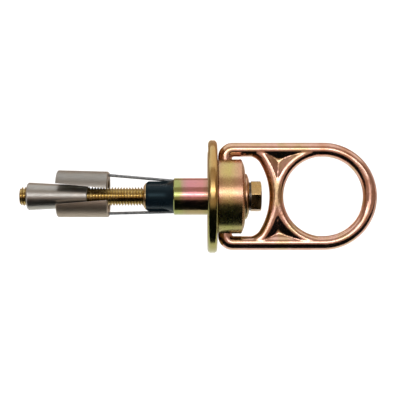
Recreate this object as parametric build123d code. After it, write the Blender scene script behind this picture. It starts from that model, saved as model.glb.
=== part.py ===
from build123d import *
import math
import os

# Swivel hoist ring with a removable expanding shank. Millimetres.
# +X runs along the bolt towards the ring, +Z is up, and the ring's plane is XZ.
# The origin is the centre of the flange's seating face, on the bolt axis.

# Fits and clearances
RUNNING_FIT = 0.05  # radial, between pieces that turn or slide on each other
SEAT_FIT = 0.03  # radial, between pieces that are pressed or swaged together
THRUST_GAP = 0.05  # axial play beside each thrust washer
BOLT_CLEARANCE = 0.35  # radial, bolt through the bush and the guide tube
BODY_LIFT = 0.3  # swivel body above the flange plate
BUSH_LIFT = 0.3  # bush flange above the swivel body
BAIL_LIFT = 0.64  # folded bail above the flange plate
LEG_CLEARANCE = 1.5  # bail leg beside the swivel body
SWING_CLEARANCE = 2.5  # crossbar round the swivel body and the bolt head
PIN_END_GAP = 0.3  # bail pin to the bottom of its hole
WEDGE_CLEARANCE = 0.1  # closed wedges over the fully drawn cone
HOLE_CLEARANCE = 0.2  # closed wedges inside the collar's radius
SOCKET_CLEARANCE = 0.1  # cable end in the mouth of its ferrule

# Bolt, 1/2-13
BOLT_RADIUS = 6.25
THREAD_PITCH = 25.4 / 13
THREAD_DEPTH = 1.2
THREAD_RUN_INSIDE = 6.0  # thread that carries on inside the guide tube
HEX_ACROSS_FLATS = 19.05
HEX_HEIGHT = 7.0
HEX_TURN = 7.4  # degrees, how far the head rests from a corner facing -Y
HEX_CHAMFER_SLOPE = 30.0
TIP_CHAMFER = 1.0
TIP_PROJECTION = 5.0  # bolt tip past the cone nut
WASHER_THICKNESS = 1.2

# Flange plate, swivel body and bush
FLANGE_RADIUS = 38.1
FLANGE_THICKNESS = 6.35
FLANGE_EDGE_FILLET = 2.2
BODY_RADIUS = 25.2
BODY_HEIGHT = 18.3
BODY_EDGE_CHAMFER = 0.6
SHOULDER_DROP = 2.4  # from the body's top land down to its rim
SHOULDER_BULGE = 0.6
THRUST_THICKNESS = 1.5
LOWER_THRUST_MARGIN = 1.0  # steel between the lower thrust washer and the pin holes
UPPER_THRUST_RADIUS = 14.0
BUSH_WALL = 2.9
BUSH_FLANGE_RADIUS = 15.5
BUSH_FLANGE_THICKNESS = 2.6
BUSH_RIM_HEIGHT = 0.7  # straight edge of the bush's flange under its dome
BUSH_LAND_MARGIN = 0.6  # flat top of the bush's flange past the head's washer
BUSH_BULGE = 0.4
BUSH_DEPTH = 5.0  # bush below the seating face

# Bail
BAR_RADIUS = 4.76
BEND_INNER_RADIUS = 0.19  # inside of the bend between a leg and its pin
PIN_DEPTH = 8.2  # bail pin inside the swivel body
CROSSBAR_STEP = 0.26  # crossbar's radius under the bar's
EYE_BACK_STEP = 0.26  # eye's back, radius under the bar's
EYE_BACK_START = 97.0  # degrees round the eye where its back leaves the legs
CROSSBAR_ARC_RADIUS = 48.3
CORNER_BEND = 15.0  # round of the window's corners, to the bar's centre
CORNER_STEP = 0.46  # window corner's radius under the bar's
RING_SETBACK = 0.24  # ring tube behind the crossbar's inner edge
WEB_THICKNESS = 3.8
WEB_REACH = 8.0  # web stops this far short of the ring's centre

# Shank
COLLAR_LENGTH = 22.7
COLLAR_INNER_WALL = 1.15  # guide tube bore to the cable ferrule
COLLAR_OUTER_WALL = 0.6  # cable ferrule to the collar's outside
COLLAR_CHAMFER = 0.5
COLLAR_RECESS = 0.35  # collar end below the flange plate's top
COLLAR_LAND_STEP = 0.5  # radial, the collar's land in the plate over its shank
TUBE_WALL = 1.3
TUBE_PROJECTION = 20.4  # guide tube past the collar
TUBE_NOSE_LENGTH = 1.4
TUBE_NOSE_FACE = 0.3
TUBE_NOSE_RIM = 0.3
SLEEVE_WALL = 1.15
FLARE_LENGTH = 2.1
FLARE_RIM = 0.4
FLARE_INSET = 0.8  # flare inside the collar's radius
NOTCH_HALF_WIDTH = 1.3

# Cables and ferrules
CABLE_RADIUS = 1.0
COLLAR_FERRULE_WALL = 0.4
WEDGE_FERRULE_WALL = 0.5
FERRULE_LENGTH = 8.0
SOCKET_DEPTH = 1.0

# Wedges and cone nut
TAPER = 3.0  # degrees, each side
WEDGE_STANDOFF = 23.4  # guide tube to the wedges
WEDGE_LENGTH = 34.5
WEDGE_OUTER_WALL = 1.0  # ferrule to the wedge's outside
WEDGE_CHAMFER = 0.6
SPLIT_HALF_GAP_FAR = 3.3
SPLIT_HALF_GAP_NEAR = 0.8
CONE_PROTRUSION = 20.1  # cone nut past the wedges
CONE_LENGTH = 40.5
CONE_END_WALL = 0.9
CONE_CHAMFER = 0.8
CONE_END_ROUND = 0.5
DRAW_TURNS = 8  # bolt turns from rest to fully drawn
UPPER_SPLAY = 4.45  # wedge centre off its closed place, as it rests
LOWER_SPLAY = 1.75
UPPER_TILT = 1.5  # degrees, far end outwards

# Places along the bolt
body_bottom = FLANGE_THICKNESS + BODY_LIFT
body_top = body_bottom + BODY_HEIGHT
shoulder_x = body_top - SHOULDER_DROP
bush_flange_bottom = body_top + BUSH_LIFT
bush_top = bush_flange_bottom + BUSH_FLANGE_THICKNESS
head_bottom = bush_top + WASHER_THICKNESS
head_top = head_bottom + HEX_HEIGHT
pivot_x = FLANGE_THICKNESS + BAIL_LIFT + BAR_RADIUS
tube_end = -COLLAR_LENGTH - TUBE_PROJECTION
wedge_near = tube_end - WEDGE_STANDOFF
wedge_far = wedge_near - WEDGE_LENGTH
cone_far = wedge_far - CONE_PROTRUSION
cone_near = cone_far + CONE_LENGTH
bolt_tip = cone_far - TIP_PROJECTION

# Radii
bolt_hole = BOLT_RADIUS + BOLT_CLEARANCE
barrel_radius = bolt_hole + BUSH_WALL
pin_floor = BODY_RADIUS - PIN_DEPTH - PIN_END_GAP
lower_thrust_radius = pin_floor - LOWER_THRUST_MARGIN
tube_radius = bolt_hole + TUBE_WALL
sleeve_bore = tube_radius + SEAT_FIT
sleeve_radius = sleeve_bore + SLEEVE_WALL
collar_ferrule_radius = CABLE_RADIUS + COLLAR_FERRULE_WALL
cable_root = tube_radius + SEAT_FIT + COLLAR_INNER_WALL + collar_ferrule_radius
collar_radius = cable_root + collar_ferrule_radius + COLLAR_OUTER_WALL
land_radius = collar_radius + COLLAR_LAND_STEP
flare_radius = collar_radius - FLARE_INSET
hex_corner = HEX_ACROSS_FLATS / math.sqrt(3)

# Bail
bend_radius = BAR_RADIUS + BEND_INNER_RADIUS
crossbar_radius = BAR_RADIUS - CROSSBAR_STEP
eye_back_radius = BAR_RADIUS - EYE_BACK_STEP
corner_radius = BAR_RADIUS - CORNER_STEP
leg_offset = BODY_RADIUS + LEG_CLEARANCE + BAR_RADIUS
swing_reach = max(
    math.hypot(shoulder_x - pivot_x, BODY_RADIUS),
    math.hypot(head_top - pivot_x, hex_corner),
)
crossbar_x = pivot_x + swing_reach + SWING_CLEARANCE + crossbar_radius
ring_x = crossbar_x - crossbar_radius + RING_SETBACK + BAR_RADIUS + leg_offset

# Cone and wedges
slope = math.tan(math.radians(TAPER))
cone_bore = BOLT_RADIUS + RUNNING_FIT
cone_near_radius = cone_bore + CONE_END_WALL
draw_length = DRAW_TURNS * THREAD_PITCH
wedge_radius = collar_radius - HOLE_CLEARANCE
wedge_ferrule_radius = CABLE_RADIUS + WEDGE_FERRULE_WALL
cable_seat = wedge_radius - WEDGE_OUTER_WALL - wedge_ferrule_radius


def cone_radius(x):
    """Radius of the cone's surface, or of its line carried on, at x."""
    return cone_near_radius + (cone_near - x) * slope


def wedge_bore(x):
    """Inner radius of the closed wedges, clear of the cone when it is fully drawn."""
    return cone_radius(x) + draw_length * slope + WEDGE_CLEARANCE


def turned(*corners):
    """Solid of revolution about the bolt axis, from corners given as (x, radius)."""
    return revolve(Plane.XZ * make_face(Polyline(*corners, close=True)), Axis.X)


def tube(start, end, outer, inner):
    """Plain tube on the bolt axis."""
    return turned((start, inner), (end, inner), (end, outer), (start, outer))


def rod(start, end, radius):
    """Round bar between two points."""
    run = Vector(*end) - Vector(*start)
    base = Plane(origin=start, z_dir=run)
    return base * Cylinder(radius, run.length, align=(Align.CENTER, Align.CENTER, Align.MIN))


def bent_bar(centre_x, centre_z, bend, start, sweep_angle, radius):
    """Round bar bent in the XZ plane, from the angle start, turning from +X towards +Z."""
    angle = math.radians(start)
    outward = Vector(math.cos(angle), 0, math.sin(angle))
    along = Vector(-math.sin(angle), 0, math.cos(angle))
    centre = Vector(centre_x, 0, centre_z)
    section = Plane(origin=centre + outward * bend, x_dir=outward, z_dir=along) * Circle(radius)
    return revolve(section, Axis(centre, (0, -1, 0)), sweep_angle)


def flange_plate():
    """Seating plate with a rounded rim."""
    plate = tube(0, FLANGE_THICKNESS, FLANGE_RADIUS, land_radius + SEAT_FIT)
    rim = plate.edges().filter_by(GeomType.CIRCLE).sort_by(SortBy.RADIUS)[-2:]
    return fillet(rim, FLANGE_EDGE_FILLET)


def anchor_collar():
    """Collar that fills the mouth of the drilled hole, its wider land set in the plate."""
    bore = tube_radius + SEAT_FIT
    counterbore = barrel_radius + SEAT_FIT
    collar_top = FLANGE_THICKNESS - COLLAR_RECESS
    collar = turned(
        (-COLLAR_LENGTH, bore),
        (-COLLAR_LENGTH, collar_radius - COLLAR_CHAMFER),
        (COLLAR_CHAMFER - COLLAR_LENGTH, collar_radius),
        (0, collar_radius),
        (0, land_radius),
        (collar_top, land_radius),
        (collar_top, counterbore),
        (-BUSH_DEPTH, counterbore),
        (-BUSH_DEPTH, bore),
    )
    for side in (1, -1):
        mouth = (-COLLAR_LENGTH, 0, side * cable_root)
        floor = (FERRULE_LENGTH - COLLAR_LENGTH, 0, side * cable_root)
        collar -= rod(mouth, floor, collar_ferrule_radius + SEAT_FIT)
    return collar


def guide_tube():
    """Tube round the bolt, its far end a conical nose that backs the sleeve."""
    nose_radius = sleeve_radius
    nose_end = tube_end + TUBE_NOSE_LENGTH
    return turned(
        (tube_end, bolt_hole),
        (tube_end, bolt_hole + TUBE_NOSE_FACE),
        (nose_end, nose_radius),
        (nose_end + TUBE_NOSE_RIM, nose_radius),
        (nose_end + TUBE_NOSE_RIM, tube_radius),
        (-BUSH_DEPTH - SEAT_FIT, tube_radius),
        (-BUSH_DEPTH - SEAT_FIT, bolt_hole),
    )


def rubber_sleeve():
    """Sleeve between the tube's nose and the collar, flared and notched for the cables."""
    start = tube_end + TUBE_NOSE_LENGTH + TUBE_NOSE_RIM
    sleeve = turned(
        (start, sleeve_bore),
        (start, sleeve_radius),
        (-COLLAR_LENGTH - FLARE_RIM - FLARE_LENGTH, sleeve_radius),
        (-COLLAR_LENGTH - FLARE_RIM, flare_radius),
        (-COLLAR_LENGTH, flare_radius),
        (-COLLAR_LENGTH, sleeve_bore),
    )
    notch_depth = collar_radius - sleeve_radius
    notch = Box(
        2 * (FLARE_RIM + FLARE_LENGTH),
        2 * NOTCH_HALF_WIDTH,
        notch_depth,
        align=(Align.CENTER, Align.CENTER, Align.MIN),
    )
    sleeve -= Pos(-COLLAR_LENGTH, 0, sleeve_radius) * notch
    sleeve -= Pos(-COLLAR_LENGTH, 0, -sleeve_radius - notch_depth) * notch
    return sleeve


def bearing_bush():
    """Bush that the swivel body turns on, its domed flange clamped down by the bolt."""
    rim = bush_flange_bottom + BUSH_RIM_HEIGHT
    land = HEX_ACROSS_FLATS / 2 + BUSH_LAND_MARGIN
    middle = ((rim + bush_top) / 2 + BUSH_BULGE, (BUSH_FLANGE_RADIUS + land) / 2)
    dome = ThreePointArc((rim, BUSH_FLANGE_RADIUS), middle, (bush_top, land))
    rest = Polyline(
        (bush_top, land),
        (bush_top, bolt_hole),
        (-BUSH_DEPTH, bolt_hole),
        (-BUSH_DEPTH, barrel_radius),
        (bush_flange_bottom, barrel_radius),
        (bush_flange_bottom, BUSH_FLANGE_RADIUS),
        (rim, BUSH_FLANGE_RADIUS),
    )
    return revolve(Plane.XZ * make_face([dome, rest]), Axis.X)


def thrust_washer(start, outer):
    """Flat bronze washer round the bush."""
    return tube(start, start + THRUST_THICKNESS, outer, barrel_radius + BOLT_CLEARANCE)


def lower_thrust_washer():
    """Washer that lies on the flange plate."""
    return thrust_washer(FLANGE_THICKNESS, lower_thrust_radius)


def upper_thrust_washer():
    """Washer in the body's top, under the bush's flange."""
    start = bush_flange_bottom - THRUST_GAP - THRUST_THICKNESS
    return thrust_washer(start, UPPER_THRUST_RADIUS)


def swivel_body():
    """Round body with a domed shoulder, a bore for the bush and holes for the bail's pins."""
    bore = barrel_radius + RUNNING_FIT
    land = UPPER_THRUST_RADIUS + RUNNING_FIT + 2 * BODY_EDGE_CHAMFER + THRUST_THICKNESS
    middle = ((shoulder_x + body_top) / 2 + SHOULDER_BULGE, (BODY_RADIUS + land) / 2)
    dome = ThreePointArc((shoulder_x, BODY_RADIUS), middle, (body_top, land))
    rest = Polyline(
        (body_top, land),
        (body_top, bore),
        (body_bottom, bore),
        (body_bottom, BODY_RADIUS - BODY_EDGE_CHAMFER),
        (body_bottom + BODY_EDGE_CHAMFER, BODY_RADIUS),
        (shoulder_x, BODY_RADIUS),
    )
    body = revolve(Plane.XZ * make_face([dome, rest]), Axis.X)
    lower_floor = FLANGE_THICKNESS + THRUST_THICKNESS + THRUST_GAP
    upper_floor = bush_flange_bottom - THRUST_GAP - THRUST_THICKNESS
    body -= tube(0, lower_floor, lower_thrust_radius + BOLT_CLEARANCE, bore / 2)
    body -= tube(upper_floor, bush_top, UPPER_THRUST_RADIUS + RUNNING_FIT, bore / 2)
    for side in (1, -1):
        mouth = (pivot_x, 0, side * leg_offset)
        floor = (pivot_x, 0, side * pin_floor)
        body -= rod(mouth, floor, BAR_RADIUS + RUNNING_FIT)
    return body


def bail_webs():
    """Thin webs in the corners between the legs, the crossbar and the ring."""
    length = ring_x - WEB_REACH - pivot_x
    field = Pos(pivot_x + length / 2, 0) * Rectangle(length, 2 * leg_offset)
    field -= Pos(ring_x, 0) * Circle(leg_offset)
    field -= Pos(crossbar_x - CROSSBAR_ARC_RADIUS, 0) * Circle(CROSSBAR_ARC_RADIUS)
    sheet = extrude(Plane.XZ * field, WEB_THICKNESS / 2, both=True)
    return [solid for solid in sheet.solids() if solid.center().X > shoulder_x]


def window_corner():
    """Bar that rounds the window's upper corner, between the leg and the crossbar."""
    height = leg_offset - CORNER_BEND
    arc_x = crossbar_x - CROSSBAR_ARC_RADIUS
    run = math.sqrt((CROSSBAR_ARC_RADIUS - CORNER_BEND) ** 2 - height**2)
    turn = math.degrees(math.atan2(height, run))
    return bent_bar(arc_x + run, height, CORNER_BEND, turn, 90 - turn, corner_radius)


def bail():
    """Forged bail: ring, crossbar, webs, legs and the pins that pivot in the body."""
    bend_z = leg_offset - bend_radius
    pin_end = BODY_RADIUS - PIN_DEPTH
    half = rod((pivot_x, 0, pin_end), (pivot_x, 0, bend_z), BAR_RADIUS)
    half += bent_bar(pivot_x + bend_radius, bend_z, bend_radius, 90, 90, BAR_RADIUS)
    half += rod((pivot_x + bend_radius, 0, leg_offset), (ring_x, 0, leg_offset), BAR_RADIUS)
    half += window_corner()
    front = bent_bar(ring_x, 0, leg_offset, -90, 180, BAR_RADIUS)
    back_sweep = 360 - 2 * EYE_BACK_START
    back = bent_bar(ring_x, 0, leg_offset, EYE_BACK_START, back_sweep, eye_back_radius)
    reach = math.degrees(math.asin(leg_offset / CROSSBAR_ARC_RADIUS))
    centre = crossbar_x - CROSSBAR_ARC_RADIUS
    crossbar = bent_bar(centre, 0, CROSSBAR_ARC_RADIUS, -reach, 2 * reach, crossbar_radius)
    whole = half + mirror(half, about=Plane.XY) + front + back + crossbar
    for web in bail_webs():
        whole += web
    return whole


def hex_bolt():
    """Hex-head bolt, its thread drawn as ridges at the true pitch and depth."""
    root = BOLT_RADIUS - THREAD_DEPTH
    crest = THREAD_PITCH / 8
    thread_end = tube_end + THREAD_RUN_INSIDE
    outline = [(bolt_tip, 0), (bolt_tip, BOLT_RADIUS - TIP_CHAMFER)]
    outline.append((bolt_tip + TIP_CHAMFER, BOLT_RADIUS))
    ridge = bolt_tip + TIP_CHAMFER
    while ridge + THREAD_PITCH < thread_end:
        outline.append((ridge + crest, BOLT_RADIUS))
        outline.append((ridge + (crest + THREAD_PITCH) / 2, root))
        outline.append((ridge + THREAD_PITCH, BOLT_RADIUS))
        ridge += THREAD_PITCH
    outline.append((head_bottom, BOLT_RADIUS))
    outline.append((head_bottom, 0))
    return turned(*outline) + hex_head()


def hex_head():
    """Hex head, its top corners turned off."""
    base = Plane(origin=(head_bottom, 0, 0), x_dir=(0, -1, 0), z_dir=(1, 0, 0))
    prism = extrude(base * Rot(0, 0, HEX_TURN) * RegularPolygon(hex_corner, 6), HEX_HEIGHT)
    drop = (hex_corner - HEX_ACROSS_FLATS / 2) * math.tan(math.radians(HEX_CHAMFER_SLOPE))
    cap = turned(
        (head_bottom, 0),
        (head_bottom, hex_corner),
        (head_top - drop, hex_corner),
        (head_top, HEX_ACROSS_FLATS / 2),
        (head_top, 0),
    )
    return prism & cap


def head_washer():
    """Thin washer under the head, as wide as the head's flats."""
    return tube(bush_top, head_bottom, HEX_ACROSS_FLATS / 2, bolt_hole)


def cone_nut():
    """Tapered nut on the thread, with a plain bore that clears the ridges."""
    return turned(
        (cone_far, cone_bore),
        (cone_far, cone_radius(cone_far) - CONE_CHAMFER),
        (cone_far + CONE_CHAMFER, cone_radius(cone_far + CONE_CHAMFER)),
        (cone_near - CONE_END_ROUND, cone_radius(cone_near - CONE_END_ROUND)),
        (cone_near, cone_near_radius - CONE_END_ROUND),
        (cone_near, cone_bore),
    )


def closed_wedge():
    """Upper wedge in its closed place: half a tapered shell cut by a sloping split."""
    shell = turned(
        (wedge_far, wedge_bore(wedge_far)),
        (wedge_far, wedge_radius - WEDGE_CHAMFER),
        (wedge_far + WEDGE_CHAMFER, wedge_radius),
        (wedge_near - WEDGE_CHAMFER, wedge_radius),
        (wedge_near, wedge_radius - WEDGE_CHAMFER),
        (wedge_near, wedge_bore(wedge_near)),
    )
    above = Polyline(
        (wedge_far, SPLIT_HALF_GAP_FAR),
        (wedge_near, SPLIT_HALF_GAP_NEAR),
        (wedge_near, collar_radius),
        (wedge_far, collar_radius),
        close=True,
    )
    half = shell & extrude(Plane.XZ * make_face(above), collar_radius, both=True)
    mouth = (wedge_near, 0, cable_seat)
    floor = (wedge_near - FERRULE_LENGTH, 0, cable_seat)
    return half - rod(mouth, floor, wedge_ferrule_radius + SEAT_FIT)


def ferrule(x, inward, z, radius):
    """Swaged cable end, with a shallow socket where the free cable starts."""
    body = rod((x, 0, z), (x + inward * FERRULE_LENGTH, 0, z), radius)
    socket = CABLE_RADIUS + SOCKET_CLEARANCE
    return body - rod((x, 0, z), (x + inward * SOCKET_DEPTH, 0, z), socket)


def upper_rest(piece):
    """Moves a piece of the closed upper wedge to where it rests, sprung open and tilted."""
    hinge = Pos(wedge_near, 0, cable_seat)
    back = Pos(-wedge_near, 0, -cable_seat)
    return Pos(0, 0, UPPER_SPLAY) * hinge * Rot(0, UPPER_TILT, 0) * back * piece


def lower_rest(piece):
    """Mirrors a piece of the closed upper wedge and moves it to the lower one's rest."""
    return Pos(0, 0, -LOWER_SPLAY) * mirror(piece, about=Plane.XY)


def wedge_upper():
    """Upper wedge at rest."""
    return upper_rest(closed_wedge())


def wedge_lower():
    """Lower wedge at rest."""
    return lower_rest(closed_wedge())


def wedge_ferrule_upper():
    """Cable end in the upper wedge."""
    return upper_rest(ferrule(wedge_near, -1, cable_seat, wedge_ferrule_radius))


def wedge_ferrule_lower():
    """Cable end in the lower wedge."""
    return lower_rest(ferrule(wedge_near, -1, cable_seat, wedge_ferrule_radius))


def collar_ferrule_upper():
    """Upper cable's end in the collar."""
    return ferrule(-COLLAR_LENGTH, 1, cable_root, collar_ferrule_radius)


def collar_ferrule_lower():
    """Lower cable's end in the collar."""
    return ferrule(-COLLAR_LENGTH, 1, -cable_root, collar_ferrule_radius)


def cable(root_z, seat_z):
    """Cable from the collar to a wedge, with ends rounded about its two flex points."""
    root = Vector(-COLLAR_LENGTH, 0, root_z)
    seat = Vector(wedge_near, 0, seat_z)
    span = (seat - root).length
    core = rod((0, 0, 0), (0, 0, span), CABLE_RADIUS)
    whole = core + Sphere(CABLE_RADIUS) + Pos(0, 0, span) * Sphere(CABLE_RADIUS)
    return Plane(origin=root, z_dir=seat - root) * whole


def cable_upper():
    """Upper cable at rest."""
    return cable(cable_root, cable_seat + UPPER_SPLAY)


def cable_lower():
    """Lower cable at rest."""
    return cable(-cable_root, -cable_seat - LOWER_SPLAY)


PIECES = (
    flange_plate,
    anchor_collar,
    guide_tube,
    rubber_sleeve,
    bearing_bush,
    lower_thrust_washer,
    upper_thrust_washer,
    swivel_body,
    bail,
    hex_bolt,
    head_washer,
    cone_nut,
    wedge_upper,
    wedge_lower,
    wedge_ferrule_upper,
    wedge_ferrule_lower,
    collar_ferrule_upper,
    collar_ferrule_lower,
    cable_upper,
    cable_lower,
)

os.makedirs("parts", exist_ok=True)
for piece in PIECES:
    export_step(piece(), f"parts/{piece.__name__}.step")

print("cable roots at x", -COLLAR_LENGTH, "z", round(cable_root, 4))
print("cable seats at x", wedge_near, "z", round(cable_seat, 4))
print("pivot", round(pivot_x, 4), "ring", round(ring_x, 4), "leg", round(leg_offset, 4))
print("crossbar", round(crossbar_x, 4), "collar radius", round(collar_radius, 4))
print("bolt tip", round(bolt_tip, 4), "head", round(head_bottom, 4), round(head_top, 4))
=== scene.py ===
import math

import bmesh
import bpy
import numpy as np
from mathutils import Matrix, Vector


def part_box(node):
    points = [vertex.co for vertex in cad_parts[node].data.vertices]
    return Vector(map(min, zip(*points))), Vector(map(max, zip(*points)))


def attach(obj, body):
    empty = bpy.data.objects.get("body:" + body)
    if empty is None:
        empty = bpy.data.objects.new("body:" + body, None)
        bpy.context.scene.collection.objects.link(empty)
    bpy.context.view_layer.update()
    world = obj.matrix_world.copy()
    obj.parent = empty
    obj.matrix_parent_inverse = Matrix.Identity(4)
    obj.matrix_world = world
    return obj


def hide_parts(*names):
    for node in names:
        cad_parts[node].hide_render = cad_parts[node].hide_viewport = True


# Swivel hoist ring with a removable expanding shank: the looks. Metres.
# +X runs along the bolt towards the ring, +Z is up, and the ring's plane is XZ.

MM = 0.001

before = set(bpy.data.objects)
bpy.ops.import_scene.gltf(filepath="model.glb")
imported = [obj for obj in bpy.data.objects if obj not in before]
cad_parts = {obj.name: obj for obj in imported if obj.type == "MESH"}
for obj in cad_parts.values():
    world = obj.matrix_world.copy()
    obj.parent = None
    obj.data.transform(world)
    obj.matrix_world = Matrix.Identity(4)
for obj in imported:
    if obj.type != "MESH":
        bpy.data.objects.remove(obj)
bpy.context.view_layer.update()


def low_high(name):
    """Lowest and highest corner of a CAD node at rest, as two vectors."""
    low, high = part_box(name)
    return Vector(low), Vector(high)


# Places read from the frame
bail_low, bail_high = low_high("bail")
bolt_low, bolt_high = low_high("hex_bolt")
washer_low, washer_high = low_high("head_washer")
cable_low, cable_high = low_high("cable_upper")
sleeve_low, sleeve_high = low_high("rubber_sleeve")

# Bail
BAR_RADIUS = (bail_high.y - bail_low.y) / 2
LEG_OFFSET = bail_high.z - BAR_RADIUS
RING_X = bail_high.x - BAR_RADIUS - LEG_OFFSET
PIVOT_X = bail_low.x + BAR_RADIUS
BEND_RADIUS = 4.95 * MM
PIN_END = 17.0 * MM
BACK_RADIUS = 4.5 * MM
CROSSBAR_ARC_RADIUS = 48.3 * MM
CROSSBAR_CENTRE = RING_X - LEG_OFFSET - 0.5 * MM - CROSSBAR_ARC_RADIUS
CROSSBAR_INSET = 0.4 * MM
CORNER_RADIUS = 15.0 * MM
CORNER_BAR_RADIUS = BACK_RADIUS - 0.1 * MM
BACK_ARC_START, BACK_ARC_END = 97, 263
VOXEL_SIZE = 0.42 * MM
WEB_START = 4.0 * MM
WEB_INSET = 1.2 * MM
WEB_OVERLAP = 1.0 * MM
WEB_HALF = 1.7 * MM
WEB_FILLET_START = 3.6 * MM
WEB_FILLET_RUN = 4.2 * MM
WEB_FILLET_RISE = 1.5 * MM

# Bolt
BOLT_RADIUS = 6.25 * MM
THREAD_PITCH = 25.4 * MM / 13
THREAD_DEPTH = 1.2 * MM
THREAD_CREST, THREAD_ROOT = 0.16, 0.14
THREAD_STEPS = [0.0, 0.07, 0.18, 0.30, 0.42, 0.46, 0.54, 0.58, 0.70, 0.82, 0.93]
THREAD_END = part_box("guide_tube")[0][0] + 6 * MM
TIP_CHAMFER = 1.0 * MM
TIP_SLOPE = 1.05
TIP_DOME = 0.02 * MM
TIP_FLAT = 0.9
MERGE_DISTANCE = 0.004 * MM
HEX_HALF = (washer_high.z - washer_low.z) / 2
HEX_TURN = math.radians(7.4)
HEX_EDGE = 0.15 * MM
HEX_UNDERSIDE, HEX_ROUND, HEX_TOP, HEX_MIDDLE = 0.985, 0.985, 0.955, 0.5
HEX_SLOPE = math.tan(math.radians(30))

# Rubber sleeve
SLEEVE_BORE = 7.94 * MM
SLEEVE_RADIUS = 9.08 * MM
FLARE_RADIUS = sleeve_high.y
SLEEVE_FLARE = 8.0 * MM
SLEEVE_LEAD = 2.0 * MM
LEAD_DROP = 0.7 * MM
LIP_PLACE = 2.1 * MM
LIP_WIDTH = 1.1 * MM
LIP_RADIUS = 10.5 * MM
LIP_FOOT = SLEEVE_RADIUS - 0.4 * MM
GROOVE_HALF = 1.15 * MM
GROOVE_EDGE = 0.25 * MM

# Wire cables
CABLE_RADIUS = (cable_high.y - cable_low.y) / 2
STRANDS = 6
STRAND_SWELL = 1.03
LAY_LENGTH = 6.5 * MM
LAY_STEP = 0.25 * MM

# Studio
FLOOR_LEVEL = -0.10
CARD_LEVEL = FLOOR_LEVEL + 0.8 * MM
CARD_LENGTH = 2.4
ROOM_RADIUS = 1.12
BACK_WALL_RADIUS = 0.38
BACK_STRIP_Y = BACK_WALL_RADIUS - 10 * MM
SWEEP_FRONT, SWEEP_BACK = -1.6, 0.9
SWEEP_BEND = 0.5
SWEEP_RISE = 1.8
SWEEP_HALF = 2.6
CAMERA_X, CAMERA_Z = -5.1 * MM, -2.45 * MM
CAMERA_DISTANCE = 600 * MM
FRAME_WIDTH = 270 * MM
SENSOR_WIDTH = 36.0


def object_from(name, verts, faces, smooth=True):
    """Mesh object from points and faces."""
    mesh = bpy.data.meshes.new(name)
    mesh.from_pydata([tuple(map(float, v)) for v in verts], [], faces)
    mesh.update()
    if smooth:
        mesh.shade_smooth()
    piece = bpy.data.objects.new(name, mesh)
    bpy.context.collection.objects.link(piece)
    return piece


def grid_faces(rows, columns, wrap=True):
    """Quads between rows of points, each row closed round when wrap is true."""
    faces = []
    for row in range(rows - 1):
        for column in range(columns if wrap else columns - 1):
            beside = (column + 1) % columns
            a = row * columns
            b = a + columns
            faces.append((a + column, a + beside, b + beside, b + column))
    return faces


def tube_along(path, radius, sides):
    """Points and faces of a closed round tube along a path of 3-D points."""
    path = np.asarray(path, float)
    along = np.gradient(path, axis=0)
    along /= np.linalg.norm(along, axis=1)[:, None]
    side = np.cross(along[0], (0.0, 1.0, 0.0))
    if np.linalg.norm(side) < 0.1:
        side = np.cross(along[0], (1.0, 0.0, 0.0))
    verts = []
    for point, forward in zip(path, along):
        side = side - forward * side.dot(forward)
        side /= np.linalg.norm(side)
        other = np.cross(forward, side)
        for angle in circle(sides):
            verts.append(point + radius * (math.cos(angle) * side + math.sin(angle) * other))
    faces = grid_faces(len(path), sides)
    last = (len(path) - 1) * sides
    faces.append(tuple(range(sides))[::-1])
    faces.append(tuple(range(last, last + sides)))
    return verts, faces


def gathered(parts):
    """Points and faces of several parts as one list of each."""
    verts, faces = [], []
    for points, quads in parts:
        faces.extend(tuple(i + len(verts) for i in quad) for quad in quads)
        verts.extend(points)
    return verts, faces


def circle(count):
    """Angles evenly spaced round a circle."""
    return np.linspace(0, 2 * math.pi, count, endpoint=False)


def ring_at(x, radius, angles):
    """Points round the bolt axis at x, one for each angle."""
    x, radius = x + 0 * angles, radius + 0 * angles
    return list(np.stack([x, radius * np.cos(angles), radius * np.sin(angles)], axis=1))


def outward(piece):
    """Turns every face of a closed piece outwards."""
    bm = bmesh.new()
    bm.from_mesh(piece.data)
    bmesh.ops.recalc_face_normals(bm, faces=bm.faces)
    bm.to_mesh(piece.data)
    bm.free()
    return piece


def arc(centre_x, centre_z, radius, start, end, count):
    """Points of an arc in the XZ plane, angles in degrees from +X towards +Z."""
    angles = np.radians(np.linspace(start, end, count))
    x = centre_x + radius * np.cos(angles)
    z = centre_z + radius * np.sin(angles)
    return np.stack([x, np.zeros(count), z], axis=1)


def line(start, end, count):
    """Points of a straight run."""
    return np.linspace(start, end, count)


def modified(piece, kind, **settings):
    """Adds a modifier to a piece and sets it."""
    modifier = piece.modifiers.new(kind.title(), kind)
    for key, value in settings.items():
        setattr(modifier, key, value)


def applied(piece):
    """Bakes a piece's modifiers into its mesh."""
    bpy.context.view_layer.update()
    graph = bpy.context.evaluated_depsgraph_get()
    mesh = bpy.data.meshes.new_from_object(piece.evaluated_get(graph))
    piece.modifiers.clear()
    piece.data = mesh
    return piece


# Materials

# Painted edge highlights: paler colours along sharp edges, from the bevel mask
EDGE_HIGHLIGHT_WIDTH = 0.35 * MM
CHROMATE_EDGE_HIGHLIGHT = (0.85, 0.76, 0.55)
BRASS_EDGE_HIGHLIGHT = (0.88, 0.78, 0.52)
STEEL_EDGE_HIGHLIGHT = (0.80, 0.79, 0.77)

# Painted reflection on the chromate: green towards the underside, from light below
GREEN_REFLECTION = (0.30, 0.33, 0.10)
GREEN_REFLECTION_DEPTH = 9 * MM
GREEN_REFLECTION_WANDER = 3 * MM
# Painted reflection: a pink band at one height across the body
ROSY_REFLECTION = (0.62, 0.33, 0.23)
ROSY_REFLECTION_HEIGHT = 4 * MM
ROSY_REFLECTION_CORE, ROSY_REFLECTION_REACH = 1 * MM, 11 * MM
CLOUD, STREAK = 0.10, 0.10
CHROMATE_SPECK = (0.20, 0.13, 0.07)

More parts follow.
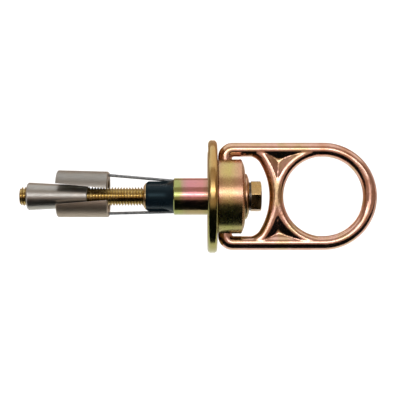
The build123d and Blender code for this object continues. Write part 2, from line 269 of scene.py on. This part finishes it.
FORGED_STOPS = [
    (0.30, (0.55, 0.28, 0.18)),
    (0.48, (0.68, 0.42, 0.34)),
    (0.60, (0.61, 0.40, 0.25)),
    (0.72, (0.46, 0.36, 0.19)),
]
FORGED_SPECK = (0.36, 0.20, 0.12)


class Shader:
    """A short way to lay out a node material."""

    def __init__(self, name, **constants):
        self.material = bpy.data.materials.new(name)
        self.material.use_nodes = True
        self.tree = self.material.node_tree
        self.surface = self.tree.nodes["Principled BSDF"]
        self.place = self.node("ShaderNodeTexCoord").outputs["Object"]
        for key, value in constants.items():
            self.surface.inputs[key.replace("_", " ")].default_value = value

    def node(self, kind, **settings):
        """Adds a node; settings name its properties or its input sockets."""
        made = self.tree.nodes.new(kind)
        for key, value in settings.items():
            if hasattr(made, key):
                setattr(made, key, value)
            else:
                self.feed(made.inputs[key], value)
        return made

    def feed(self, socket, value):
        """Links an output to a socket, or sets the socket's own value."""
        if isinstance(value, bpy.types.NodeSocket):
            self.tree.links.new(value, socket)
        else:
            socket.default_value = value

    def math(self, operation, a, b=0.0):
        """One arithmetic step."""
        made = self.node("ShaderNodeMath", operation=operation)
        self.feed(made.inputs[0], a)
        self.feed(made.inputs[1], b)
        return made.outputs[0]

    def stretched(self, scale):
        """Object coordinates stretched along the axes."""
        mapping = self.node("ShaderNodeMapping")
        self.feed(mapping.inputs["Vector"], self.place)
        mapping.inputs["Scale"].default_value = scale
        return mapping.outputs["Vector"]

    def noise(self, scale, detail=3.0, where=None):
        """Cloudy noise, 0 to 1."""
        made = self.node("ShaderNodeTexNoise", Scale=scale, Detail=detail)
        self.feed(made.inputs["Vector"], where or self.place)
        return made.outputs["Fac"]

    def ramp(self, factor, stops):
        """Colour ramp through (place, colour) stops."""
        made = self.node("ShaderNodeValToRGB")
        self.feed(made.inputs["Fac"], factor)
        points = made.color_ramp.elements
        while len(points) < len(stops):
            points.new(0.5)
        for point, (position, colour) in zip(points, stops):
            point.position = position
            point.color = (*colour, 1.0)
        return made.outputs["Color"]

    def span(self, value, low, high, to_low=0.0, to_high=1.0):
        """Rescales a value from one range to another."""
        made = self.node("ShaderNodeMapRange")
        for place, number in enumerate((value, low, high, to_low, to_high)):
            self.feed(made.inputs[place], number)
        return made.outputs[0]

    def blend(self, factor, first, second):
        """Mixes two colours."""
        made = self.node("ShaderNodeMix", data_type="RGBA")
        self.feed(made.inputs[0], factor)
        for socket, value in ((made.inputs[6], first), (made.inputs[7], second)):
            self.feed(socket, (*value, 1.0) if isinstance(value, tuple) else value)
        return made.outputs[2]

    def axis(self, name):
        """One object coordinate, in metres."""
        split = self.node("ShaderNodeSeparateXYZ")
        self.feed(split.inputs[0], self.place)
        return split.outputs[name]

    def bump(self, height, strength, distance):
        """Bump on the surface's normal."""
        made = self.node("ShaderNodeBump", Strength=strength, Distance=distance)
        self.feed(made.inputs["Height"], height)
        self.feed(self.surface.inputs["Normal"], made.outputs["Normal"])

    def edge_highlight_mask(self, share):
        """Painted edge highlight mask, share on sharp edges, from how far a rounding turns the
        normal.
        """
        rounded = self.node("ShaderNodeBevel", samples=6, Radius=EDGE_HIGHLIGHT_WIDTH).outputs["Normal"]
        flat = self.node("ShaderNodeNewGeometry").outputs["Normal"]
        between = self.node("ShaderNodeVectorMath", operation="DOT_PRODUCT")
        self.feed(between.inputs[0], rounded)
        self.feed(between.inputs[1], flat)
        return self.math("MULTIPLY", self.span(between.outputs["Value"], 0.985, 0.90), share)

    def hollow_shade_mask(self):
        """Height mask of a densely meshed piece, 0 in its grooves and 1 on its crests, for
        painting shade into the grooves.
        """
        pointy = self.node("ShaderNodeNewGeometry").outputs["Pointiness"]
        return self.span(pointy, 0.44, 0.56)

    def use(self, **inputs):
        """Feeds the principled shader's inputs."""
        for key, value in inputs.items():
            self.feed(self.surface.inputs[key.replace("_", " ")], value)
        return self.material


def chromate(name, stops, gloss, rosy_reflection=0.0):
    """Iridescent yellow chromate: the colour drifts along +X, clouded and streaked; painted
    reflections make it greener towards the underside and pink in a band at one height, and sharp
    edges get a painted highlight.
    """
    shader = Shader(name, Metallic=1.0)
    cloudy = shader.noise(70.0, 3.0)
    turned = shader.noise(60.0, 3.0, shader.stretched((14.0, 1.0, 1.0)))
    start, end = stops[0][0], stops[-1][0]
    along = shader.span(shader.axis("X"), start * MM, end * MM)
    for pattern, share in ((cloudy, CLOUD), (turned, STREAK)):
        along = shader.math("ADD", along, shader.span(pattern, 0.0, 1.0, -share, share))
    colour = shader.ramp(along, [((x - start) / (end - start), tint) for x, tint in stops])
    # painted reflection of light from below: greener towards the underside
    wander = shader.span(cloudy, 0.0, 1.0, -GREEN_REFLECTION_WANDER, GREEN_REFLECTION_WANDER)
    height = shader.math("ADD", shader.axis("Z"), wander)
    colour = shader.blend(shader.span(height, 0.0, -GREEN_REFLECTION_DEPTH, 0.0, 0.7), colour, GREEN_REFLECTION)
    # painted reflection: pink band at one height
    away = shader.math("ABSOLUTE", shader.math("SUBTRACT", shader.axis("Z"), ROSY_REFLECTION_HEIGHT))
    colour = shader.blend(shader.span(away, ROSY_REFLECTION_CORE, ROSY_REFLECTION_REACH, rosy_reflection, 0.0), colour, ROSY_REFLECTION)
    fine = shader.noise(1100.0, 2.0)
    colour = shader.blend(shader.span(fine, 0.45, 0.75, 0.0, 0.22), colour, CHROMATE_SPECK)
    # painted edge highlight: paler along sharp edges
    colour = shader.blend(shader.edge_highlight_mask(0.45), colour, CHROMATE_EDGE_HIGHLIGHT)
    rough = shader.span(shader.noise(260.0, 4.0), 0.3, 0.7, gloss - 0.05, gloss + 0.07)
    shader.bump(shader.math("ADD", fine, shader.math("MULTIPLY", turned, 0.6)), 0.05, 0.0001)
    return shader.use(Base_Color=colour, Roughness=rough)


def forged_gold():
    """Glossy pinkish gold over a slightly uneven forging."""
    shader = Shader("forged_gold", Metallic=1.0)
    colour = shader.ramp(shader.noise(70.0, 4.0), FORGED_STOPS)
    speck = shader.noise(1300.0, 2.0)
    colour = shader.blend(shader.span(speck, 0.5, 0.8, 0.0, 0.35), colour, FORGED_SPECK)
    rough = shader.span(shader.noise(320.0, 4.0), 0.3, 0.7, 0.11, 0.20)
    uneven = shader.math("ADD", shader.noise(160.0, 3.0), shader.math("MULTIPLY", speck, 0.06))
    shader.bump(uneven, 0.3, 0.00025)
    return shader.use(Base_Color=colour, Roughness=rough)


def turned_steel(name, tint, gloss=0.34):
    """Bright machined steel with fine lines round it, a warm stain here and there, and a painted
    highlight along sharp edges.
    """
    shader = Shader(name, Metallic=1.0)
    lines = shader.noise(500.0, 3.0, shader.stretched((6.0, 0.6, 0.6)))
    grain = shader.noise(500.0, 3.0, shader.stretched((0.35, 3.0, 3.0)))
    stain = shader.noise(80.0, 3.0)
    warm = tuple(share * part for share, part in zip((1.0, 0.90, 0.78), tint))
    colour = shader.blend(shader.span(stain, 0.5, 0.75, 0.0, 0.5), tint, warm)
    dull = tuple(0.8 * part for part in tint)
    colour = shader.blend(shader.span(grain, 0.3, 0.7, 0.0, 0.5), colour, dull)
    # painted edge highlight: paler along sharp edges
    colour = shader.blend(shader.edge_highlight_mask(0.6), colour, STEEL_EDGE_HIGHLIGHT)
    rough = shader.span(shader.math("ADD", lines, grain), 0.7, 1.3, gloss - 0.06, gloss + 0.08)
    shader.bump(shader.math("ADD", lines, grain), 0.10, 0.00008)
    return shader.use(Base_Color=colour, Roughness=rough)


def brassy(name, crest, groove=None, gloss=0.28):
    """Gold chromate on a machined piece; the third colour, where given, is painted shade in the
    thread's roots, and otherwise sharp edges get a painted highlight.
    """
    shader = Shader(name, Metallic=1.0)
    cloudy = shader.noise(260.0, 4.0)
    deeper = tuple(share * part for share, part in zip((0.84, 0.78, 0.62), crest))
    colour = shader.blend(shader.span(cloudy, 0.35, 0.65), deeper, crest)
    speck = shader.noise(1500.0, 2.0)
    dirt = tuple(0.35 * part for part in crest)
    colour = shader.blend(shader.span(speck, 0.5, 0.75, 0.0, 0.5), colour, dirt)
    if groove:
        # painted shade: the thread's roots take the darker third colour
        colour = shader.blend(shader.hollow_shade_mask(), groove, colour)
    else:
        # painted edge highlight: paler along sharp edges
        colour = shader.blend(shader.edge_highlight_mask(0.5), colour, BRASS_EDGE_HIGHLIGHT)
    rough = shader.span(cloudy, 0.3, 0.7, gloss - 0.06, gloss + 0.10)
    shader.bump(speck, 0.15, 0.00006)
    return shader.use(Base_Color=colour, Roughness=rough)


def rubber():
    """Smooth navy-black rubber with a faint mould texture."""
    shader = Shader("black_rubber", Specular_IOR_Level=0.22, Specular_Tint=(0.50, 0.85, 1.0, 1.0))
    cloudy = shader.noise(150.0, 4.0)
    colour = shader.blend(cloudy, (0.0010, 0.0030, 0.0050), (0.0030, 0.0065, 0.0100))
    dust = shader.span(shader.noise(420.0, 5.0), 0.62, 0.85, 0.0, 0.05)
    colour = shader.blend(dust, colour, (0.10, 0.11, 0.12))
    rough = shader.span(cloudy, 0.3, 0.7, 0.24, 0.34)
    shader.bump(shader.noise(1800.0, 3.0), 0.12, 0.00005)
    return shader.use(Base_Color=colour, Roughness=rough)


def galvanised():
    """Dull zinc on steel wire, with painted shade between the strands."""
    shader = Shader("galvanised_wire", Metallic=1.0)
    cloudy = shader.noise(600.0, 4.0)
    colour = shader.blend(shader.span(cloudy, 0.35, 0.65), (0.22, 0.24, 0.26), (0.42, 0.45, 0.47))
    # painted shade between the strands
    colour = shader.blend(shader.hollow_shade_mask(), (0.05, 0.06, 0.07), colour)
    rough = shader.span(cloudy, 0.3, 0.7, 0.35, 0.55)
    shader.bump(shader.noise(3000.0, 2.0), 0.15, 0.00004)
    return shader.use(Base_Color=colour, Roughness=rough)


def studio_white(name):
    """Matt pale paper for the floor."""
    white = (1.0, 1.0, 1.0, 1.0)
    shader = Shader(name, Roughness=0.9, Emission_Color=white, Emission_Strength=0.16)
    return shader.use(Base_Color=shader.blend(shader.noise(4.0, 2.0), (0.90,) * 3, (0.882,) * 3))


# Pieces


def corner_arc(side):
    """Arc that rounds the window's corner between a leg and the crossbar."""
    height = LEG_OFFSET - CORNER_RADIUS
    x = CROSSBAR_CENTRE + math.sqrt((CROSSBAR_ARC_RADIUS - CORNER_RADIUS) ** 2 - height**2)
    end = math.degrees(math.atan2(height, x - CROSSBAR_CENTRE))
    return arc(x, side * height, CORNER_RADIUS, side * 90, side * end, 24)


def outer_bar():
    """Points of the outer bar: pin, leg, round the eye, leg and pin."""
    elbow_x = PIVOT_X + BEND_RADIUS
    elbow_z = LEG_OFFSET - BEND_RADIUS
    runs = [
        line((PIVOT_X, 0, -PIN_END), (PIVOT_X, 0, -elbow_z), 12)[:-1],
        arc(elbow_x, -elbow_z, BEND_RADIUS, 180, 270, 16)[:-1],
        line((elbow_x, 0, -LEG_OFFSET), (RING_X, 0, -LEG_OFFSET), 60)[:-1],
        arc(RING_X, 0, LEG_OFFSET, -90, 90, 90)[:-1],
        line((RING_X, 0, LEG_OFFSET), (elbow_x, 0, LEG_OFFSET), 60)[:-1],
        arc(elbow_x, elbow_z, BEND_RADIUS, 90, 180, 16)[:-1],
        line((PIVOT_X, 0, elbow_z), (PIVOT_X, 0, PIN_END), 12),
    ]
    return np.concatenate(runs)


def forged_bail():
    """The bail as one forging: bars and webs merged, then softened where they meet."""
    reach = math.degrees(math.asin((LEG_OFFSET - CROSSBAR_INSET) / CROSSBAR_ARC_RADIUS))
    back = arc(RING_X, 0, LEG_OFFSET, BACK_ARC_START, BACK_ARC_END, 90)
    crossbar = arc(CROSSBAR_CENTRE, 0, CROSSBAR_ARC_RADIUS, -reach, reach, 70)
    parts = [
        tube_along(outer_bar(), BAR_RADIUS, 40),
        tube_along(back, BACK_RADIUS, 40),
        tube_along(crossbar, BACK_RADIUS, 40),
    ]
    for side in (1, -1):
        parts += [tube_along(corner_arc(side), CORNER_BAR_RADIUS, 40), web(side)]
    piece = object_from("forged_bail", *gathered(parts))
    modified(piece, "REMESH", mode="VOXEL", voxel_size=VOXEL_SIZE)
    modified(piece, "SMOOTH", factor=0.5, iterations=14)
    return applied(piece)


def web_half(x, z):
    """Half thickness of a web at a place, thicker towards the bars round it."""
    away = min(
        abs(math.hypot(x - RING_X, z) - LEG_OFFSET),
        abs(math.hypot(x - CROSSBAR_CENTRE, z) - CROSSBAR_ARC_RADIUS),
        LEG_OFFSET - z,
    )
    near = 1 - min(max((away - WEB_FILLET_START) / WEB_FILLET_RUN, 0), 1)
    return WEB_HALF + WEB_FILLET_RISE * near**2


def web(side):
    """Points and faces of the plate between a leg, the crossbar and the eye."""
    rows, columns = 40, 28
    sheets = {1: [], -1: []}
    for z in np.linspace(WEB_START, LEG_OFFSET - WEB_INSET, rows):
        left = CROSSBAR_CENTRE + math.sqrt(CROSSBAR_ARC_RADIUS**2 - z**2) - WEB_OVERLAP
        right = RING_X - math.sqrt(LEG_OFFSET**2 - z**2) + WEB_OVERLAP
        for x in np.linspace(left, right, columns):
            for face in sheets:
                sheets[face].append((x, face * web_half(x, z), side * z))
    verts = sheets[1] + sheets[-1]
    quads = grid_faces(rows, columns, wrap=False)
    under = len(sheets[1])
    faces = quads + [tuple(under + corner for corner in quad[::-1]) for quad in quads]
    rim = [row * columns for row in range(rows)]
    rim += [(rows - 1) * columns + column for column in range(1, columns)]
    rim += [row * columns + columns - 1 for row in range(rows - 2, -1, -1)]
    rim += list(range(columns - 2, 0, -1))
    for a, b in zip(rim, rim[1:] + rim[:1]):
        faces.append((a, b, under + b, under + a))
    return verts, faces


def thread_radius(phase):
    """Radius of the thread at a phase of 0 to 1 round its pitch, flat crests and roots."""
    flank = (1 - THREAD_CREST - THREAD_ROOT) / 2
    rise = np.clip((phase - THREAD_ROOT / 2) / flank, 0, 1)
    fall = np.clip((1 - THREAD_ROOT / 2 - phase) / flank, 0, 1)
    return BOLT_RADIUS - THREAD_DEPTH * (1 - np.minimum(rise, fall))


def threaded_bolt():
    """Bolt with a true right-hand helical thread up to a plain shank, and its hex head."""
    angles = circle(96)
    start = bolt_low.x
    turns = int(math.ceil((THREAD_END - start) / THREAD_PITCH)) + 2
    phases = (np.arange(turns)[:, None] - 1 + np.array(THREAD_STEPS)).ravel()
    verts = []
    for phase in phases:
        x = start + (phase + angles / (2 * math.pi)) * THREAD_PITCH
        x = np.clip(x, start, THREAD_END)
        tip = BOLT_RADIUS - TIP_CHAMFER + TIP_SLOPE * (x - start)
        radius = np.minimum(thread_radius(phase % 1.0), tip)
        radius = np.where(x >= THREAD_END, BOLT_RADIUS - THREAD_DEPTH, radius)
        verts += ring_at(x, radius, angles)
    thread = verts, seam_faces(len(phases), len(angles), len(THREAD_STEPS))
    bolt = object_from("threaded_bolt", *gathered([thread, domed_tip(angles)]))
    bm = bmesh.new()
    bm.from_mesh(bolt.data)
    bmesh.ops.remove_doubles(bm, verts=bm.verts, dist=MERGE_DISTANCE)
    bm.to_mesh(bolt.data)
    bm.free()
    bolt.data.shade_smooth()
    return join([bolt, plain_shank(), hex_head()], "threaded_bolt")


def seam_faces(rows, around, per_turn):
    """Quads of the helical strip: the seam joins a row's end to the row one turn on."""
    faces = []
    for row in range(rows - 1):
        for column in range(around - 1):
            a, b = row * around + column, (row + 1) * around + column
            faces.append((a, b, b + 1, a + 1))
        ahead = row + per_turn
        if ahead + 1 < rows:
            a, b = row * around + around - 1, (row + 1) * around + around - 1
            faces.append((a, b, (ahead + 1) * around, ahead * around))
    return faces


def domed_tip(angles):
    """Points and faces of the slightly domed disc that closes the bolt's tip."""
    around = len(angles)
    radius = BOLT_RADIUS - TIP_CHAMFER
    verts = ring_at(bolt_low.x + TIP_DOME, radius, angles)
    verts += ring_at(bolt_low.x, radius * TIP_FLAT, angles)
    faces = [(c, c + around, (c + 1) % around + around, (c + 1) % around) for c in range(around)]
    faces.append(tuple(range(around, 2 * around)))
    return verts, faces


def plain_shank():
    """Unthreaded part of the bolt, up to its head."""
    angles = circle(128)
    verts = ring_at(THREAD_END, BOLT_RADIUS, angles) + ring_at(washer_high.x, BOLT_RADIUS, angles)
    return outward(object_from("bolt_shank", verts, grid_faces(2, len(angles))))


def hex_head():
    """Hex head with its corners turned off at 30 degrees."""
    angles = circle(120)
    bottom, top = washer_high.x, bolt_high.x
    across = (angles - HEX_TURN) % math.radians(60) - math.radians(30)
    flank = HEX_HALF / np.cos(across)
    rows = [
        (bottom, BOLT_RADIUS),
        (bottom, flank * HEX_UNDERSIDE),
        (bottom + HEX_EDGE, flank),
        (top - (flank - HEX_HALF * HEX_ROUND) * HEX_SLOPE, flank),
        (top, HEX_HALF * HEX_TOP),
        (top, HEX_HALF * HEX_MIDDLE),
    ]
    verts = []
    for x, radius in rows:
        verts += ring_at(x, radius, math.pi - angles)
    faces = grid_faces(len(rows), len(angles))
    last = (len(rows) - 1) * len(angles)
    faces.append(tuple(range(last, last + len(angles))))
    return outward(object_from("hex_head", verts, faces, smooth=False))


def join(pieces, name):
    """Joins pieces into the first one."""
    bpy.ops.object.select_all(action="DESELECT")
    for piece in pieces:
        piece.select_set(True)
    bpy.context.view_layer.objects.active = pieces[0]
    bpy.ops.object.join()
    pieces[0].name = name
    return pieces[0]


def wire_rope(name, node):
    """Stranded cable along its CAD rod: six strands laid round a core."""
    low, high = low_high(node)
    near, far = sorted((low.z + CABLE_RADIUS, high.z - CABLE_RADIUS), key=abs)
    start = Vector((high.x - CABLE_RADIUS, 0, near))
    finish = Vector((low.x + CABLE_RADIUS, 0, far))
    run = finish - start
    strand = CABLE_RADIUS / 3
    count = int(run.length / LAY_STEP)
    forward = run.normalized()
    side = Vector((0, 1, 0))
    other = forward.cross(side)
    strands = []
    for index in range(STRANDS + 1):
        offset = 2 * strand if index < STRANDS else 0.0
        path = []
        for step in range(count + 1):
            along = run.length * step / count
            angle = 2 * math.pi * (along / LAY_LENGTH + index / STRANDS)
            aside = math.cos(angle) * side + math.sin(angle) * other
            path.append(start + forward * along + offset * aside)
        strands.append(tube_along(path, strand * STRAND_SWELL, 8))
    return object_from(name, *gathered(strands))


def moulded_sleeve():
    """Rubber sleeve that flares into the collar, with a lipped groove along each cable."""
    angles = circle(360)
    around = len(angles)
    verts = ring_at(sleeve_low.x, SLEEVE_BORE, angles)
    for x in np.linspace(sleeve_low.x, sleeve_high.x, 60):
        verts += ring_at(x, sleeve_profile(x, np.abs(np.cos(angles))), angles)
    verts += ring_at(sleeve_high.x, SLEEVE_BORE, angles)
    faces = grid_faces(len(verts) // around, around)
    last = len(verts) - around
    faces += [(last + c, last + (c + 1) % around, (c + 1) % around, c) for c in range(around)]
    return outward(object_from("moulded_sleeve", verts, faces))


def sleeve_profile(x, lateral):
    """Radii round the sleeve at x; lateral is |y| over the radius, for each of them."""
    flare = np.clip((x - sleeve_high.x + SLEEVE_FLARE) / SLEEVE_FLARE, 0, 1) ** 2
    lead = np.clip((x - sleeve_low.x) / SLEEVE_LEAD, 0, 1) ** 0.5
    radius = SLEEVE_RADIUS + (FLARE_RADIUS - SLEEVE_RADIUS) * flare - LEAD_DROP * (1 - lead)
    aside = lateral * SLEEVE_RADIUS
    lip = np.clip(1 - np.abs(aside - LIP_PLACE) / LIP_WIDTH, 0, 1) ** 0.7
    raised = np.maximum(radius, LIP_FOOT + (LIP_RADIUS - LIP_FOOT) * lip * lead)
    beyond = np.clip((aside - GROOVE_HALF) / GROOVE_EDGE, 0, 1)
    return np.minimum(raised, SLEEVE_RADIUS) * (1 - beyond) + raised * beyond


def dress(piece, material, body, replaced):
    """Gives a new piece its material and its body, and hides the CAD node it stands for."""
    piece.data.materials.clear()
    piece.data.materials.append(material)
    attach(piece, body)
    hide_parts(replaced)
    return piece


def dress_node(name, material):
    """Gives a CAD node a better material, in every slot."""
    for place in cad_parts[name].material_slots:
        place.material = material


# Chromate colours by their place along +X, in millimetres
FLANGE_STOPS = [
    (0.0, (0.34, 0.30, 0.14)),
    (2.0, (0.52, 0.36, 0.15)),
    (4.4, (0.50, 0.31, 0.11)),
    (6.4, (0.40, 0.24, 0.10)),
]
BODY_STOPS = [
    (6.6, (0.46, 0.26, 0.17)),
    (9.5, (0.54, 0.40, 0.17)),
    (14.5, (0.52, 0.42, 0.15)),
    (18.5, (0.56, 0.37, 0.20)),
    (22.0, (0.56, 0.31, 0.20)),
    (25.0, (0.44, 0.26, 0.12)),
]
COLLAR_STOPS = [
    (-22.7, (0.32, 0.38, 0.13)),
    (-19.5, (0.35, 0.36, 0.13)),
    (-16.5, (0.48, 0.28, 0.24)),
    (-12.0, (0.58, 0.25, 0.27)),
    (-4.0, (0.60, 0.26, 0.25)),
    (0.0, (0.44, 0.26, 0.17)),
]
BUSH_STOPS = [(24.0, (0.42, 0.22, 0.12)), (26.0, (0.50, 0.26, 0.16)), (28.0, (0.44, 0.28, 0.12))]


def build():
    """Makes every piece and gives every CAD node its finish."""
    dress(forged_bail(), forged_gold(), "ring", "bail")
    # the third colour is painted shade in the thread's roots
    thread_gold = brassy("bolt_gold", (0.80, 0.66, 0.32), (0.30, 0.20, 0.08), 0.2)
    bolt = dress(threaded_bolt(), thread_gold, "bolt", "hex_bolt")
    bolt.data.materials.append(brassy("head_gold", (0.50, 0.33, 0.15)))
    for face in bolt.data.polygons:
        face.material_index = int(face.center.x > washer_low.x)
    wire = galvanised()
    dress(wire_rope("wire_upper", "cable_upper"), wire, "upper_cable", "cable_upper")
    dress(wire_rope("wire_lower", "cable_lower"), wire, "lower_cable", "cable_lower")
    dress(moulded_sleeve(), rubber(), "base", "rubber_sleeve")
    dress_node("flange_plate", chromate("chromate_flange", FLANGE_STOPS, gloss=0.18))
    # the body's pink band at one height is a painted reflection
    dress_node("swivel_body", chromate("chromate_body", BODY_STOPS, gloss=0.25, rosy_reflection=0.6))
    dress_node("anchor_collar", chromate("chromate_collar", COLLAR_STOPS, gloss=0.16))
    dress_node("bearing_bush", chromate("chromate_bush", BUSH_STOPS, gloss=0.2))
    dress_node("guide_tube", brassy("tube_gold", (0.62, 0.46, 0.26)))
    # The head washer's near-black tint is painted shade in the gap under the bolt head.
    dress_node("head_washer", turned_steel("washer_steel_painted_shade", (0.07, 0.06, 0.05)))
    bronze = brassy("washer_bronze", (0.55, 0.36, 0.18), gloss=0.35)
    dress_node("lower_thrust_washer", bronze)
    dress_node("upper_thrust_washer", bronze)
    copper = brassy("swaged_copper", (0.70, 0.40, 0.26), gloss=0.3)
    for place in ("collar", "wedge"):
        for side in ("upper", "lower"):
            dress_node(f"{place}_ferrule_{side}", copper)
    dress_node("cone_nut", turned_steel("cone_steel", (0.36, 0.35, 0.33)))
    dress_node("wedge_upper", turned_steel("wedge_steel", (0.30, 0.29, 0.27), 0.40))
    # The lower wedge is the same steel as the upper one; its warmer, paler tint is a painted warm
    # reflection.
    dress_node("wedge_lower", turned_steel("steel_painted_warm_reflection", (0.45, 0.38, 0.31), 0.50))


# Studio


def floor_and_backdrop():
    """Seamless pale sweep: a floor that curves up behind the object."""
    flat_end = SWEEP_BACK - SWEEP_BEND
    profile = [(SWEEP_FRONT, FLOOR_LEVEL), (flat_end, FLOOR_LEVEL)]
    for angle in np.linspace(0, math.pi / 2, 16)[1:]:
        height = SWEEP_BEND * (1 - math.cos(angle))
        profile.append((flat_end + SWEEP_BEND * math.sin(angle), FLOOR_LEVEL + height))
    profile.append((SWEEP_BACK, FLOOR_LEVEL + SWEEP_RISE))
    verts = [(x, y, z) for y, z in profile for x in (-SWEEP_HALF, SWEEP_HALF)]
    sweep = object_from("studio_sweep", verts, grid_faces(len(profile), 2, wrap=False))
    sweep.data.materials.append(studio_white("studio_paper"))


def reflected_only(surface, colour, strength):
    """Makes a studio surface show only in reflections, glowing or black."""
    material = bpy.data.materials.new(surface.name)
    material.use_nodes = True
    shader = material.node_tree.nodes["Principled BSDF"]
    shader.inputs["Base Color"].default_value = (*colour, 1)
    shader.inputs["Roughness"].default_value = 1.0
    shader.inputs["Specular IOR Level"].default_value = 0.0
    shader.inputs["Emission Color"].default_value = (*colour, 1)
    shader.inputs["Emission Strength"].default_value = strength
    surface.data.materials.append(material)
    surface.visible_camera = False
    surface.visible_shadow = False
    surface.visible_diffuse = False
    surface.visible_transmission = False


def card(name, low, high, colour, strength=1.0):
    """Flat card along +X between two places given as (Y, Z)."""
    half = CARD_LENGTH / 2
    corners = [(-half, *low), (half, *low), (half, *high), (-half, *high)]
    reflected_only(object_from(name, corners, [(0, 1, 2, 3)], smooth=False), colour, strength)


def soft_light(name, centre, size, power):
    """Rectangular area light that faces the origin."""
    lamp = bpy.data.lights.new(name, "AREA")
    lamp.shape = "RECTANGLE"
    lamp.size, lamp.size_y = size
    lamp.energy = power
    light = bpy.data.objects.new(name, lamp)
    bpy.context.collection.objects.link(light)
    light.location = centre
    light.rotation_euler = (-Vector(centre)).to_track_quat("-Z", "Y").to_euler()


def ahead(elevation, distance):
    """Y and Z of a point before the object at an elevation, in degrees, seen from its axis."""
    angle = math.radians(elevation)
    return (-distance * math.cos(angle), distance * math.sin(angle))


def room_wall(name, low, high, colour, middle=0, reach=100, radius=ROOM_RADIUS):
    """Dim wall round the object between two heights; middle and reach are in degrees from -Y."""
    columns = 48
    angles = np.radians(np.linspace(middle - reach, middle + reach, columns))
    ring = [(radius * math.sin(a), -radius * math.cos(a)) for a in angles]
    verts = [(x, y, z) for z in (low, high) for x, y in ring]
    reflected_only(object_from(name, verts, grid_faces(2, columns, wrap=False)), colour, 1.0)


def white_world():
    """Even white light from all round."""
    world = bpy.data.worlds.new("studio_world")
    world.use_nodes = True
    background = world.node_tree.nodes["Background"]
    background.inputs["Color"].default_value = (1, 1, 1, 1)
    background.inputs["Strength"].default_value = 0.95
    bpy.context.scene.world = world


def studio():
    """Soft top and front lights, a dim room and cards that the bright metal reflects."""
    bpy.context.scene.view_settings.view_transform = "Standard"
    white_world()
    floor_and_backdrop()
    soft_light("top_light", (0, -0.15, 0.9), (1.2, 0.7), 2.0)
    soft_light("softbox", (0, *ahead(13, 1.0)), (0.62, 0.49), 1.5)
    card("softbox_core", ahead(9.5, 0.95), ahead(14.5, 0.95), (1.0, 1.0, 1.0), 4.5)
    room_wall("room_low", FLOOR_LEVEL, 0.6, (0.15, 0.105, 0.08))
    room_wall("room_high", 0.6, 1.86, (0.27, 0.22, 0.18))
    room_wall("room_back", FLOOR_LEVEL, 0.62, (0.26, 0.19, 0.14), 180, 75, BACK_WALL_RADIUS)
    card("back_softbox", (BACK_STRIP_Y, 0.05), (BACK_STRIP_Y, 0.16), (1.0, 0.99, 0.97), 1.6)
    card("dark_table", (-0.27, CARD_LEVEL), (0.0, CARD_LEVEL), (0.004, 0.005, 0.006), 0.0)
    card("brown_table", (-1.05, CARD_LEVEL), (-0.27, CARD_LEVEL), (0.24, 0.17, 0.13))
    card("low_bounce", (0.0, CARD_LEVEL), (0.7, CARD_LEVEL), (0.50, 0.50, 0.47))
    card("ceiling", (-0.48, 0.8), (1.4, 0.8), (0.52, 0.51, 0.50))


def camera():
    """Level view along +Y, as far away as the perspective shows."""
    lens = bpy.data.cameras.new("camera")
    lens.sensor_width = SENSOR_WIDTH
    lens.lens = SENSOR_WIDTH * CAMERA_DISTANCE / FRAME_WIDTH
    lens.clip_start = 0.01
    eye = bpy.data.objects.new("camera", lens)
    bpy.context.collection.objects.link(eye)
    eye.location = (CAMERA_X, -CAMERA_DISTANCE, CAMERA_Z)
    eye.rotation_euler = (math.radians(90), 0, 0)
    bpy.context.scene.camera = eye


build()
studio()
camera()
